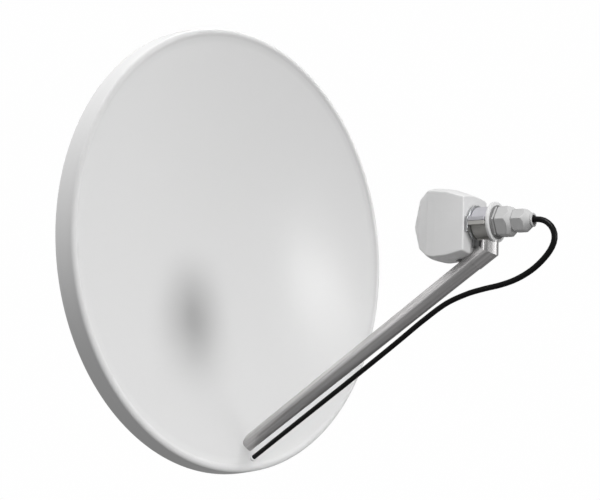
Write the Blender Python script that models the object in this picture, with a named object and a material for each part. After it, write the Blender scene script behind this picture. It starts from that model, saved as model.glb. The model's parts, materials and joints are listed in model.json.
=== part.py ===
"""Wireless dish antenna: pressed reflector, feed arm, feed unit with cable gland, and rear mast mount.

Frame: +Z up, the reflector faces -Y. The origin lies on the flat rear face of the mast bracket,
where a mast or post bears against it. All sizes below are in millimetres; meshes are made in metres.
"""
import math

import bmesh
import bpy
from mathutils import Vector

MM = 0.001
GAP = 0.3
ACROSS = Vector((1, 0, 0))
BACK = Vector((0, 1, 0))
UP = Vector((0, 0, 1))

# Reflector. The rim's profile is given as pairs of inset from the front rim and depth behind it
DISH_WIDTH = 750.0
DISH_HEIGHT = 788.0
SKIRT_DEPTH = 32.0
SKIRT_FLARE = 6.7
BOWL_DEPTH = 68.0
LIP_INSET = 13.0
LIP_DEPTH = 4.2
SHELL = 2.2
RIM_SEGMENTS = 72
BOWL_REACHES = (0.22, 0.38, 0.52, 0.64, 0.75, 0.85, 0.93)
FRONT_LIP = ((LIP_INSET, LIP_DEPTH), (11.0, 2.6), (8.5, 0.7), (6.0, 0.0), (3.5, 0.0), (1.2, 0.8), (-0.3, 2.5))
SKIRT = ((-1.0, 5.0), (-SKIRT_FLARE, SKIRT_DEPTH))
HEM = ((-5.5, 34.0), (-3.0, 34.6), (-0.8, 33.6), (-0.4, 31.5), (-2.3, 29.8), (-4.2, 27.0))
BACK_LIP = ((1.0, 5.4), (1.6, 3.6), (2.6, 2.5), (4.0, 2.0), (5.8, 2.0), (7.4, 2.5), (9.6, 4.2), (12.0, 6.3))

# Mast mount, behind the reflector
STANDOFF_TO_BASE = 80.0
BASE_PLATE = 3.0
BASE_WIDTH = 150.0
BASE_HEIGHT = 160.0
BASE_CORNER_CUT = 16.0
BASE_TO_MAST_FACE = 66.0
STUD_X = 58.0
STUD_Z = 62.0
STUD_END = 4.0
SPACER_R = 8.0
CHANNEL_HALF_WIDTH = 39.5
CHANNEL_HEIGHT = 150.0
CHANNEL_PLATE = 4.0
CHANNEL_DEPTH = 58.0
EAR_PLATE = 3.0
EAR_HALF_HEIGHT = 58.0
EAR_TAPER = 14.0
EAR_REAR_Y = -7.0
PIVOT_Z = -38.0
PIVOT_Y = -30.0
LOCK_RADIUS = 70.0
LOCK_SWING = 15.0
BOLT_R = 4.0
HOLE_R = 4.4
NUT_FLATS = 13.0
NUT_THICK = 6.5
BOLT_HEAD = 5.3
BOLT_END = 3.0
U_BOLT_LEG_X = 27.5
U_BOLT_Z = 48.0
U_BOLT_LEG_LENGTH = 28.0
U_BOLT_END = 6.0

# The reflector's front rim plane, in the part's own frame
RIM_Y = -(STANDOFF_TO_BASE + BASE_PLATE + BASE_TO_MAST_FACE)

# Feed arm: a square tube turned on its edge, from the reflector's foot to the elbow under the feed
ARM_SIDE = 22.4
ARM_WALL = 1.6
ARM_CORNER = 5.0
ARM_FOOT = Vector((0, RIM_Y + 16.0, -348.0))
ELBOW = Vector((0, RIM_Y - 461.0, -48.5))
ARM_BEHIND_DISH = 46.0
ARM_HOLE_CLEARANCE = 1.0
SLEEVE_LENGTH = 26.0
SLEEVE_SIDE = 24.4
SLEEVE_LIP = 5.0
ARM_IN_SLEEVE = 10.0
END_CAP_PLUG = 10.0
END_CAP = 3.0
LOCK_BOLT_FROM_FOOT = 32.0
LOCK_BOLT_HOLE_R = 3.4
SMALL_BOLT_R = 3.0
SMALL_NUT_FLATS = 10.0
SMALL_NUT = 5.0

# Arm socket, behind the reflector: plate sizes along and across the reflector's slope at the arm's foot
SOCKET_PLATE = 3.0
SOCKET_HALF_WIDTH = 44.0
SOCKET_REACH = (-20.0, 34.0)
SOCKET_STUD_X = 33.0
SOCKET_STUD_REACH = (-11.0, 25.0)
SOCKET_STUD_END = 4.0
SOCKET_CLEAR = 0.5
SOCKET_WALL = 2.5

# Feed unit, along its own axis. Stations run from the middle of the clamp, away from the reflector
FEED_CENTRE = Vector((0, RIM_Y - 457.0, -9.3))
FEED_DROP = math.radians(3.0)
NECK_R = 19.7
NECK_BORE = 16.5
CLAMP_R = 22.5
CLAMP_FROM = -10.5
CLAMP_TO = 14.4
CLAMP_PAD = 2.6
CLAMP_PAD_HALF = 4.0
LUG_X = 30.0
LUG_RISE = 5.7
CLAMP_BOLT_X = 26.3
CLAMP_BOLT_R = 2.0
CLAMP_BOLT_FLATS = 7.0
CLAMP_BOLT_HEAD = 3.5
FLANGE_R = 28.6
FLANGE = (15.0, 19.0)
FLANGE_EDGE = 0.6
GASKET_R = 23.6
GASKET = (19.3, 20.7)
CABLE_R = 4.0

# Feed housing: station, half width, top edge, bottom edge, crown above, crown below, and how far the
# top and bottom edges stand in from the ridge at mid height
HOUSING_REAR = (-15.5, 33.0, 34.7, -41.2, 4.1, 3.0, 0.0)
HOUSING_MIDDLE = (-42.0, 36.0, 43.3, -47.5, 6.1, 5.5, 0.0)
COVER_SEAM = (-62.0, 34.4, 46.2, -49.0, 7.0, 6.3, 0.0)
COVER_SHOULDER = (-76.0, 33.5, 47.9, -47.0, 6.3, 5.0, 0.5)
COVER_BROW = (-94.2, 24.9, 37.2, -35.2, 3.0, 3.0, 1.9)
COVER_NOSE = (-107.3, 15.8, 6.5, -9.5, 1.0, 1.0, 3.1)
RECESS_HALF_WIDTH = 19.0
RECESS_RISE = 21.0

# Cable gland: stations with the hexagon's flats, or none for a round, and the circle that limits its corners
GLAND_BODY = ((21.0, None, 22.4), (21.6, None, 23.1), (23.6, None, 23.1), (24.0, None, 21.2), (24.8, None, 21.2),
              (25.2, 39.2, 22.6), (38.6, 39.2, 22.6), (40.8, None, 20.7), (43.6, None, 17.8), (45.8, None, 15.4))
GLAND_NUT = ((46.1, None, 15.2), (46.9, 29.4, 17.0), (60.4, 29.4, 17.0), (62.8, None, 15.4), (65.8, None, 13.0),
             (68.6, None, 10.8), (71.0, None, 9.4), (73.0, None, 8.9))
GLAND_BODY_TURN = math.radians(-4)
GLAND_NUT_TURN = math.radians(-5)
GLAND_BODY_BORE = 9.0
GLAND_NUT_BORE = 6.8
SEAL = (47.0, 69.0)
SEAL_R = 6.4

# Hanger plate at the clamp's inner end, and its tail along the arm
HANGER_PLATE = 3.2
HANGER_RING_R = 25.5
HANGER_WING_X = 30.5
HANGER_WING_TOP = 6.9
HANGER_WING_LOW = -14.8
TAIL_THICK = 3.0
TAIL_HALF_WIDTH = 8.0
TAIL_END = 46.0

# Place where the cable passes into the reflector, just below the arm, and the bush there:
# distance along the cable's way and radius
CABLE_ENTRY = Vector((0, RIM_Y + 5.0, -372.5))
CABLE_HOLE_R = 5.3
ENTRY_HEAD = ((-3.4, 5.4), (-2.6, 6.6), (-1.6, 6.6), (-1.6, 4.9), (16.0, 4.9))
ENTRY_BORE_R = 3.2
ENTRY_SEAT = -0.6
ENTRY_NUT = (8.5, 12.5)
ENTRY_NUT_FLATS = 15.0


def feed_axes():
    away = Vector((0, -math.cos(FEED_DROP), -math.sin(FEED_DROP)))
    up = Vector((0, -math.sin(FEED_DROP), math.cos(FEED_DROP)))
    return away, up


def feed_point(x, station, height):
    away, up = feed_axes()
    return FEED_CENTRE + Vector((x, 0, 0)) + away * station + up * height


# The cable's route from the gland to the reflector: (distance behind the rim plane, height)
CABLE_BENDS = ((-544.0, -15.6), (-553.5, -24.5), (-557.5, -37.1), (-554.0, -50.7), (-543.0, -65.0), (-524.4, -80.0),
               (-501.0, -91.5), (-477.0, -98.0), (-452.0, -102.0), (-424.0, -108.0), (-389.4, -120.5),
               (-349.5, -144.2), (-301.0, -176.5), (-234.8, -219.5), (-147.8, -275.0), (-70.0, -324.5))
CABLE_START = (feed_point(0, 64.0, 0.0), feed_point(0, 69.0, 0.1), feed_point(0, 76.0, 0.6))
CABLE_SPACING = 10.0


def clear_scene():
    for obj in list(bpy.data.objects):
        bpy.data.objects.remove(obj, do_unlink=True)


def material(name, colour, roughness, metallic=0.0):
    mat = bpy.data.materials.new(name)
    mat.use_nodes = True
    shader = mat.node_tree.nodes["Principled BSDF"]
    shader.inputs["Base Color"].default_value = (*colour, 1.0)
    shader.inputs["Roughness"].default_value = roughness
    shader.inputs["Metallic"].default_value = metallic
    mat.diffuse_color = (*colour, 1.0)
    return mat


def make_materials():
    return {
        "paint": material("reflector_paint", (0.80, 0.80, 0.80), 0.35),
        "plastic": material("white_plastic", (0.78, 0.78, 0.78), 0.45),
        "tube": material("satin_metal", (0.55, 0.54, 0.54), 0.32, 1.0),
        "clamp": material("clamp_metal", (0.56, 0.55, 0.60), 0.38, 1.0),
        "steel": material("zinc_steel", (0.62, 0.63, 0.64), 0.35, 1.0),
        "rubber": material("black_rubber", (0.03, 0.03, 0.03), 0.6),
        "jacket": material("cable_jacket", (0.015, 0.015, 0.016), 0.4),
    }


# Mesh building: every solid is a chain of rings of points, joined by faces

def new_object(name, mesh, mat, smooth_angle=30.0):
    obj = bpy.data.objects.new(name, mesh)
    bpy.context.scene.collection.objects.link(obj)
    mesh.materials.append(mat)
    mesh.shade_smooth()
    mesh.set_sharp_from_angle(angle=math.radians(smooth_angle))
    return obj


def chain_mesh(name, rings, closed=False):
    """Join rings of equal length. A ring of one point is a pole; open chains get end faces."""
    bm = bmesh.new()
    loops = [[bm.verts.new(point * MM) for point in ring] for ring in rings]
    pairs = list(zip(loops, loops[1:]))
    if closed:
        pairs.append((loops[-1], loops[0]))
    for first, second in pairs:
        count = max(len(first), len(second))
        for i in range(count):
            j = (i + 1) % count
            if len(first) == 1:
                bm.faces.new((first[0], second[j], second[i]))
            elif len(second) == 1:
                bm.faces.new((first[i], first[j], second[0]))
            else:
                bm.faces.new((first[i], first[j], second[j], second[i]))
    if not closed:
        for end in (loops[0], loops[-1]):
            if len(end) > 2:
                bm.faces.new(end)
    bmesh.ops.recalc_face_normals(bm, faces=bm.faces)
    if bm.calc_volume(signed=True) < 0:
        bmesh.ops.reverse_faces(bm, faces=bm.faces)
    mesh = bpy.data.meshes.new(name)
    bm.to_mesh(mesh)
    bm.free()
    return mesh


def chain(name, rings, mat, closed=False, smooth_angle=30.0):
    return new_object(name, chain_mesh(name, rings, closed), mat, smooth_angle)


def cutter(name, rings):
    obj = bpy.data.objects.new(name, chain_mesh(name, rings))
    bpy.context.scene.collection.objects.link(obj)
    obj.hide_render = True
    obj.display_type = "WIRE"
    return obj


def boolean(obj, tool, operation="DIFFERENCE"):
    modifier = obj.modifiers.new(tool.name, "BOOLEAN")
    modifier.operation = operation
    modifier.solver = "EXACT"
    modifier.object = tool


# Rings

def basis(direction, side_hint=ACROSS):
    """Two unit vectors square to a direction, the first as near as can be to the hint."""
    forward = direction.normalized()
    if abs(forward.dot(side_hint)) > 0.9:
        side_hint = UP
    side = side_hint - forward * side_hint.dot(forward)
    side.normalize()
    return side, forward.cross(side)


def round_ring(centre, direction, radius, count=24, hint=ACROSS):
    side, up = basis(direction, hint)
    angles = [2 * math.pi * i / count for i in range(count)]
    return [centre + side * radius * math.cos(a) + up * radius * math.sin(a) for a in angles]


def hex_ring(centre, direction, across_flats, corner_limit, count=24, turn=0.0):
    """A hexagon whose corners are cut off by a circle, as on a turned nut."""
    side, up = basis(direction)
    points = []
    for i in range(count):
        a = 2 * math.pi * i / count + turn
        from_flat = (a - turn) % (math.pi / 3)
        from_flat = min(from_flat, math.pi / 3 - from_flat)
        radius = min(across_flats / 2 / math.cos(math.pi / 6 - from_flat), corner_limit)
        points.append(centre + side * radius * math.cos(a) + up * radius * math.sin(a))
    return points


def square_outline(side, corner, arc_steps=3):
    """A rounded square turned on its edge, as pairs of (across, along-normal) offsets."""
    half = side / 2 - corner
    points = []
    for quarter in range(4):
        start = quarter * math.pi / 2
        cx = half * (1 if quarter in (0, 3) else -1)
        cy = half * (1 if quarter in (0, 1) else -1)
        for step in range(arc_steps + 1):
            a = start + step * math.pi / 2 / arc_steps
            x = cx + corner * math.cos(a)
            y = cy + corner * math.sin(a)
            points.append(((x - y) * math.sqrt(0.5), (x + y) * math.sqrt(0.5)))
    return points


def section(outline, centre, across, normal):
    return [centre + across * u + normal * v for u, v in outline]


def slide_to_plane(points, direction, plane_point, plane_normal):
    """Move each point along a direction until it meets a plane, for a mitre."""
    moved = []
    for point in points:
        step = (plane_point - point).dot(plane_normal) / direction.dot(plane_normal)
        moved.append(point + direction * step)
    return moved


def arc(radius, start, end, steps, centre=(0.0, 0.0)):
    """Points of a circle from one angle to another, in degrees, as (x, y) pairs."""
    angles = [math.radians(start + (end - start) * i / steps) for i in range(steps + 1)]
    return [(centre[0] + radius * math.cos(a), centre[1] + radius * math.sin(a)) for a in angles]


def fastener(name, origin, direction, stations, mat, count=12):
    """A turned fastener: each station is a distance along it and a radius, or else a hexagon's flats."""
    rings = []
    for distance, radius, flats in stations:
        centre = origin + direction.normalized() * distance
        if flats:
            rings.append(hex_ring(centre, direction, flats, flats * 0.56, count))
        else:
            rings.append(round_ring(centre, direction, radius, count))
    return chain(name, rings, mat, smooth_angle=25)


def stud_stations(start, nut, nut_thick, end, radius, flats):
    """A stud from its start through a nut, and on past it to its end."""
    return [(start, radius, None), (nut, radius, None), (nut, None, flats), (nut + nut_thick, None, flats),
            (nut + nut_thick, radius, None), (nut + nut_thick + end, radius, None)]


# Reflector

def bowl_y(x, z, behind=0.0):
    """Depth of the bowl's surface at a place on the reflector."""
    half_width = DISH_WIDTH / 2 - LIP_INSET
    half_height = DISH_HEIGHT / 2 - LIP_INSET
    reach = (x / half_width) ** 2 + (z / half_height) ** 2
    return RIM_Y + LIP_DEPTH + BOWL_DEPTH * (1 - reach) + behind


def oval_ring(half_width, half_height, y):
    angles = [2 * math.pi * i / RIM_SEGMENTS for i in range(RIM_SEGMENTS)]
    return [Vector((half_width * math.sin(a), y, half_height * math.cos(a))) for a in angles]


def rim_ring(inset, depth):
    return oval_ring(DISH_WIDTH / 2 - inset, DISH_HEIGHT / 2 - inset, RIM_Y + depth)


def bowl_ring(reach, behind):
    half_width = (DISH_WIDTH / 2 - LIP_INSET) * reach
    half_height = (DISH_HEIGHT / 2 - LIP_INSET) * reach
    return oval_ring(half_width, half_height, bowl_y(half_width, 0, behind))


def make_reflector(mats):
    rings = [[Vector((0, bowl_y(0, 0), 0))]]
    rings += [bowl_ring(reach, 0.0) for reach in BOWL_REACHES]
    rings += [rim_ring(inset, depth) for inset, depth in FRONT_LIP + SKIRT + HEM + BACK_LIP]
    rings += [bowl_ring(reach, SHELL) for reach in reversed(BOWL_REACHES)]
    rings += [[Vector((0, bowl_y(0, 0, SHELL), 0))]]
    reflector = chain("reflector", rings, mats["paint"])

    along, normal = arm_axes()
    hole = square_outline(ARM_SIDE + 2 * ARM_HOLE_CLEARANCE, ARM_CORNER + ARM_HOLE_CLEARANCE)
    sections = [section(hole, ARM_FOOT + along * step, ACROSS, normal) for step in (-40, 40)]
    boolean(reflector, cutter("arm_hole", sections))
    way = cable_entry_direction()
    holes = [round_ring(CABLE_ENTRY + way * step, way, CABLE_HOLE_R, 20) for step in (-12, 12)]
    boolean(reflector, cutter("cable_hole", holes))


# Feed arm

def arm_axes():
    """Direction from the arm's foot to the elbow, and the direction square to it that points up."""
    along = (ELBOW - ARM_FOOT).normalized()
    return along, Vector((0, along.z, -along.y))


def make_arm(mats):
    along, normal = arm_axes()
    start = ARM_FOOT - along * ARM_BEHIND_DISH
    end = ELBOW - along * (SLEEVE_LENGTH - ARM_IN_SLEEVE)
    outer = square_outline(ARM_SIDE, ARM_CORNER)
    inner = square_outline(ARM_SIDE - 2 * ARM_WALL, ARM_CORNER - ARM_WALL)
    rings = [section(outer, start, ACROSS, normal), section(outer, end, ACROSS, normal)]
    rings += [section(inner, end, ACROSS, normal), section(inner, start, ACROSS, normal)]
    tube = chain("arm_tube", rings, mats["tube"], closed=True, smooth_angle=25)
    boolean(tube, lock_bolt_hole("arm_bolt_hole"))

    plug_outline = square_outline(ARM_SIDE - 2 * ARM_WALL - 2 * GAP, ARM_CORNER - ARM_WALL - GAP)
    plug = [section(plug_outline, start + along * step, ACROSS, normal) for step in (END_CAP_PLUG, -GAP)]
    plug += [section(outer, start + along * step, ACROSS, normal) for step in (-GAP, -END_CAP)]
    chain("arm_end_cap", plug, mats["rubber"], smooth_angle=25)


def make_elbow(mats):
    """Mitred elbow: a sleeve over the arm's end, turning up into the short post under the clamp."""
    along, normal = arm_axes()
    away, up = feed_axes()
    lip = square_outline(SLEEVE_SIDE, ARM_CORNER + 1.0)
    bore = square_outline(ARM_SIDE + 2 * GAP, ARM_CORNER + GAP)
    leg = ELBOW - along * SLEEVE_LENGTH
    seat = FEED_CENTRE - up * (CLAMP_R + CLAMP_PAD + GAP)
    mouth = section(lip, leg, ACROSS, normal)
    mitre = slide_to_plane(mouth, along, ELBOW, (along + up).normalized())
    rings = [section(bore, leg + along * (ARM_IN_SLEEVE + GAP), ACROSS, normal), section(bore, leg, ACROSS, normal),
             mouth, section(lip, leg + along * SLEEVE_LIP, ACROSS, normal), mitre,
             slide_to_plane(mitre, up, seat, up)]
    elbow = chain("arm_elbow", rings, mats["tube"], smooth_angle=25)
    ends = (FLANGE[0] - GAP, GASKET[1])
    room = [round_ring(feed_point(0, station, 0), away, FLANGE_R + GAP, 48) for station in ends]
    boolean(elbow, cutter("flange_room", room))


def lock_bolt_frame():
    """Middle and direction of the bolt that locks the arm in its socket, square to two tube walls."""
    along, normal = arm_axes()
    return ARM_FOOT - along * LOCK_BOLT_FROM_FOOT, (ACROSS + normal).normalized()


def lock_bolt_hole(name):
    centre, direction = lock_bolt_frame()
    rings = [round_ring(centre + direction * step, direction, LOCK_BOLT_HOLE_R, 16) for step in (-30, 30)]
    return cutter(name, rings)


def socket_frame():
    """Tangent plane of the reflector's back at the arm's foot: a point on it, its rise and its outward normal."""
    half_height = DISH_HEIGHT / 2 - LIP_INSET
    slope = 2 * BOWL_DEPTH * ARM_FOOT.z / half_height ** 2
    rise = Vector((0, -slope, 1)).normalized()
    return Vector((0, bowl_y(0, ARM_FOOT.z, SHELL), ARM_FOOT.z)), rise, rise.cross(ACROSS)


def make_arm_socket(mats):
    """Foot plate behind the reflector with a sleeve that holds the arm's rear end."""
    origin, rise, back = socket_frame()
    along, normal = arm_axes()
    corners = [(-SOCKET_HALF_WIDTH, SOCKET_REACH[0]), (SOCKET_HALF_WIDTH, SOCKET_REACH[0])]
    corners += [(SOCKET_HALF_WIDTH, SOCKET_REACH[1]), (-SOCKET_HALF_WIDTH, SOCKET_REACH[1])]
    faces = (SOCKET_CLEAR, SOCKET_CLEAR + SOCKET_PLATE)
    rings = [[origin + ACROSS * u + rise * v + back * face for u, v in corners] for face in faces]
    socket = chain("arm_socket", rings, mats["steel"])
    sleeve_outline = square_outline(ARM_SIDE + 2 * (GAP + SOCKET_WALL), ARM_CORNER + SOCKET_WALL)
    sleeve_end = section(sleeve_outline, ARM_FOOT - along * (ARM_BEHIND_DISH - 2.0), ACROSS, normal)
    sleeve_start = slide_to_plane(sleeve_end, along, origin + back * (SOCKET_CLEAR + SOCKET_PLATE / 2), back)
    boolean(socket, cutter("socket_sleeve", [sleeve_start, sleeve_end]), "UNION")
    bore_outline = square_outline(ARM_SIDE + 2 * GAP, ARM_CORNER + GAP)
    bore = [section(bore_outline, ARM_FOOT + along * step, ACROSS, normal) for step in (30, -80)]
    boolean(socket, cutter("socket_bore", bore))
    boolean(socket, lock_bolt_hole("socket_bolt_hole"))

    nut = SOCKET_CLEAR + SOCKET_PLATE + GAP
    places = [(x, reach) for x in (-SOCKET_STUD_X, SOCKET_STUD_X) for reach in SOCKET_STUD_REACH]
    for number, (u, v) in enumerate(places, start=1):
        place = origin + ACROSS * u + rise * v
        hole = [round_ring(place + back * step, back, SMALL_BOLT_R + GAP, 16) for step in (-3, 12)]
        boolean(socket, cutter(f"socket_stud_hole_{number}", hole))
        surface = Vector((place.x, bowl_y(place.x, place.z, SHELL), place.z))
        start = (surface - place).dot(back) + 0.5
        stations = stud_stations(start, nut, SMALL_NUT, SOCKET_STUD_END, SMALL_BOLT_R - 0.1, SMALL_NUT_FLATS)
        fastener(f"socket_stud_{number}", place, back, stations, mats["steel"])

    centre, direction = lock_bolt_frame()
    face = ARM_SIDE / 2 + GAP + SOCKET_WALL + GAP
    stations = [(-face - SMALL_NUT, None, SMALL_NUT_FLATS), (-face, None, SMALL_NUT_FLATS)]
    stations += stud_stations(-face, face, SMALL_NUT, BOLT_END, SMALL_BOLT_R, SMALL_NUT_FLATS)
    fastener("arm_lock_bolt", centre, direction, stations, mats["steel"])


# Feed unit

def turned(name, stations, mat, bore, count=32, smooth_angle=30.0):
    """A piece turned about the feed axis from (station, radius) pairs, with a through bore."""
    away, up = feed_axes()
    rings = [round_ring(feed_point(0, station, 0), away, radius, count) for station, radius in stations]
    rings += [round_ring(feed_point(0, station, 0), away, bore, count) for station in (stations[-1][0], stations[0][0])]
    return chain(name, rings, mat, closed=True, smooth_angle=smooth_angle)


def housing_ring(profile):
    """A section of the housing: flat sides that meet in a slight ridge, and a crown above and below."""
    station, half_width, top, bottom, crown_top, crown_low, inset = profile
    edge = half_width - inset
    middle = (top + bottom) / 2
    upper = [(-edge, top), (-edge / 2, top + crown_top * 0.8), (0, top + crown_top), (edge / 2, top + crown_top * 0.8),
             (edge, top)]
    lower = [(edge, bottom), (edge / 2, bottom - crown_low * 0.8), (0, bottom - crown_low),
             (-edge / 2, bottom - crown_low * 0.8), (-edge, bottom)]
    outline = [(-half_width, middle)] + upper + [(half_width, middle)] + lower
    return [feed_point(x, station, z) for x, z in outline]


def arm_recess():
    """Groove under the housing that clears the arm's upper edge and the strap on it."""
    along, normal = arm_axes()
    wide, rise = RECESS_HALF_WIDTH, RECESS_RISE
    outline = ((-wide, -20.0), (wide, -20.0), (wide, rise - 5), (wide - 5, rise), (5 - wide, rise), (-wide, rise - 5))
    return cutter("arm_recess", [section(outline, ELBOW + along * step, ACROSS, normal) for step in (-90.0, 30.0)])


def make_feed_head(mats):
    seam = (COVER_SEAM[0] - GAP,) + COVER_SEAM[1:]
    cover = [housing_ring(profile) for profile in (COVER_NOSE, COVER_BROW, COVER_SHOULDER, seam)]
    chain("radome_cover", cover, mats["plastic"], smooth_angle=15)
    body = [housing_ring(profile) for profile in (COVER_SEAM, HOUSING_MIDDLE, HOUSING_REAR)]
    housing = chain("feed_housing", body, mats["plastic"], smooth_angle=15)
    boolean(housing, arm_recess())
    turned("feed_neck", [(HOUSING_REAR[0] + GAP, NECK_R), (CLAMP_TO + GAP, NECK_R)], mats["plastic"], NECK_BORE)
    near, far = FLANGE
    flange = [(near, FLANGE_R - FLANGE_EDGE), (near + FLANGE_EDGE, FLANGE_R), (far - FLANGE_EDGE, FLANGE_R),
              (far, FLANGE_R - FLANGE_EDGE)]
    turned("neck_flange", flange, mats["plastic"], bore=12.0)
    turned("flange_gasket", [(station, GASKET_R) for station in GASKET], mats["plastic"], bore=12.0)
    make_gland(mats)


def make_gland(mats):
    away, up = feed_axes()

    def gland_piece(name, profile, bore, turn):
        rings = []
        for station, flats, radius in profile:
            rings.append(hex_ring(feed_point(0, station, 0), away, flats or 4 * radius, radius, 24, turn))
        rings += [hex_ring(feed_point(0, profile[end][0], 0), away, 4 * bore, bore, 24, turn) for end in (-1, 0)]
        chain(name, rings, mats["plastic"], closed=True, smooth_angle=28)

    gland_piece("gland_body", GLAND_BODY, GLAND_BODY_BORE, GLAND_BODY_TURN)
    gland_piece("gland_nut", GLAND_NUT, GLAND_NUT_BORE, GLAND_NUT_TURN)
    turned("gland_seal", [(station, SEAL_R) for station in SEAL], mats["rubber"], CABLE_R + GAP, count=24)


def make_clamp(mats):
    """Two half shells round the neck, with a seam at each side."""
    away, up = feed_axes()
    inner = NECK_R + GAP
    seam = GAP / 2

    def half(name, outline):
        rings = [[feed_point(x, station, z) for x, z in outline] for station in (CLAMP_FROM, CLAMP_TO)]
        return chain(name, rings, mats["clamp"], smooth_angle=25)

    meet = math.degrees(math.asin(LUG_RISE / CLAMP_R))
    low = math.degrees(math.asin(seam / inner))
    upper = [(LUG_X, seam), (LUG_X, LUG_RISE)] + arc(CLAMP_R, meet, 180 - meet, 18)
    upper += [(-LUG_X, LUG_RISE), (-LUG_X, seam)] + arc(inner, 180 - low, low, 20)
    top = half("clamp_upper", upper)
    turn = math.degrees(math.acos(CLAMP_PAD_HALF / CLAMP_R))
    pad = -(CLAMP_R + CLAMP_PAD)
    lower = [(LUG_X, -seam), (LUG_X, -LUG_RISE)] + arc(CLAMP_R, -meet, -turn, 7)
    lower += [(CLAMP_PAD_HALF, pad), (-CLAMP_PAD_HALF, pad)] + arc(CLAMP_R, -180 + turn, -180 + meet, 7)
    lower += [(-LUG_X, -LUG_RISE), (-LUG_X, -seam)] + arc(inner, -180 + low, -low, 20)
    bottom = half("clamp_lower", lower)

    place = feed_point(CLAMP_BOLT_X, (CLAMP_FROM + CLAMP_TO) / 2, 0)
    hole = cutter("clamp_bolt_hole", [round_ring(place + up * step, up, CLAMP_BOLT_R + 0.4, 12) for step in (-12, 12)])
    boolean(top, hole)
    boolean(bottom, hole)
    face = LUG_RISE + GAP
    stations = [(-face - CLAMP_BOLT_HEAD, None, CLAMP_BOLT_FLATS), (-face, None, CLAMP_BOLT_FLATS),
                (-face, CLAMP_BOLT_R, None), (face, CLAMP_BOLT_R, None), (face, None, CLAMP_BOLT_FLATS),
                (face + CLAMP_BOLT_HEAD, None, CLAMP_BOLT_FLATS)]
    fastener("clamp_bolt", place, up, stations, mats["steel"])


def make_hanger(mats):
    """Plate hanger: a winged ring round the neck at the clamp's inner end, and a tail laid along the arm's top edge."""
    away, up = feed_axes()
    along, normal = arm_axes()
    near = CLAMP_FROM - GAP - HANGER_PLATE
    far = CLAMP_FROM - GAP
    top = math.degrees(math.asin(HANGER_WING_TOP / HANGER_RING_R))
    low = math.degrees(math.asin(HANGER_WING_LOW / HANGER_RING_R))
    outline = [(HANGER_WING_X, HANGER_WING_LOW), (HANGER_WING_X, HANGER_WING_TOP)]
    outline += arc(HANGER_RING_R, top, 180 - top, 18)
    outline += [(-HANGER_WING_X, HANGER_WING_TOP), (-HANGER_WING_X, HANGER_WING_LOW)]
    outline += arc(HANGER_RING_R, -180 - low, low, 14)
    hanger = chain("hanger_plate", [[feed_point(x, station, z) for x, z in outline] for station in (near, far)],
                   mats["steel"], smooth_angle=25)

    ridge = (ARM_SIDE / 2 - ARM_CORNER) * math.sqrt(2) + ARM_CORNER + 2 * GAP
    clear = ELBOW + normal * (ridge + 1.6)
    seat = ELBOW + normal * ridge
    root = feed_point(0, (near + far) / 2, 3.0 - HANGER_RING_R)
    hip = clear - along * ((clear - root).dot(along) + 6.0)
    path = [root, hip, clear - along * (SLEEVE_LENGTH + 3.0), seat - along * (SLEEVE_LENGTH + 6.0),
            seat - along * TAIL_END]
    tail = []
    for index, point in enumerate(path):
        forward = path[min(index + 1, len(path) - 1)] - path[max(index - 1, 0)]
        lift = Vector((0, -forward.z, forward.y)).normalized()
        half = TAIL_HALF_WIDTH
        tail.append(section(((-half, 0), (half, 0), (half, TAIL_THICK), (-half, TAIL_THICK)), point, ACROSS, lift))
    boolean(hanger, cutter("hanger_tail", tail), "UNION")
    bore = [round_ring(feed_point(0, station, 0), away, NECK_R + 0.8, 32) for station in (near - 5, far + 5)]
    boolean(hanger, cutter("hanger_bore", bore))


# Cable

def cable_route():
    bends = [Vector((0, RIM_Y + y, z)) for y, z in CABLE_BENDS]
    return list(CABLE_START) + bends + [CABLE_ENTRY]


def cable_entry_direction():
    """Way the cable runs as it goes into the reflector."""
    route = cable_route()
    return (route[-1] - route[-2]).normalized()


def smooth_path(points, steps):
    """Catmull-Rom curve through the route's points."""
    ends = [points[0] * 2 - points[1]] + list(points) + [points[-1] * 2 - points[-2]]
    path = []
    for i in range(1, len(ends) - 2):
        a, b, c, d = ends[i - 1], ends[i], ends[i + 1], ends[i + 2]
        for step in range(steps):
            t = step / steps
            path.append(0.5 * ((2 * b) + (c - a) * t + (2 * a - 5 * b + 4 * c - d) * t * t
                               + (3 * b - a - 3 * c + d) * t * t * t))
    return path + [ends[-2]]


def even_path(points, spacing):
    """The same curve with points a set distance apart."""
    fine = smooth_path(points, 24)
    lengths = [0.0]
    for a, b in zip(fine, fine[1:]):
        lengths.append(lengths[-1] + (b - a).length)
    count = round(lengths[-1] / spacing)
    path = []
    index = 0
    for k in range(count + 1):
        target = lengths[-1] * k / count
        while index < len(fine) - 2 and lengths[index + 1] < target:
            index += 1
        span = lengths[index + 1] - lengths[index]
        path.append(fine[index].lerp(fine[index + 1], (target - lengths[index]) / span))
    return path


def make_cable(mats):
    way = cable_entry_direction()
    path = even_path(cable_route()[:-1] + [CABLE_ENTRY - way], CABLE_SPACING)
    curve = bpy.data.curves.new("cable", "CURVE")
    curve.dimensions = "3D"
    curve.bevel_depth = CABLE_R * MM
    curve.bevel_resolution = 2
    curve.use_fill_caps = True
    spline = curve.splines.new("POLY")
    spline.points.add(len(path) - 1)
    for target, point in zip(spline.points, path):
        target.co = (*(point * MM), 1.0)
    curve.materials.append(mats["jacket"])
    bpy.context.scene.collection.objects.link(bpy.data.objects.new("cable", curve))


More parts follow.
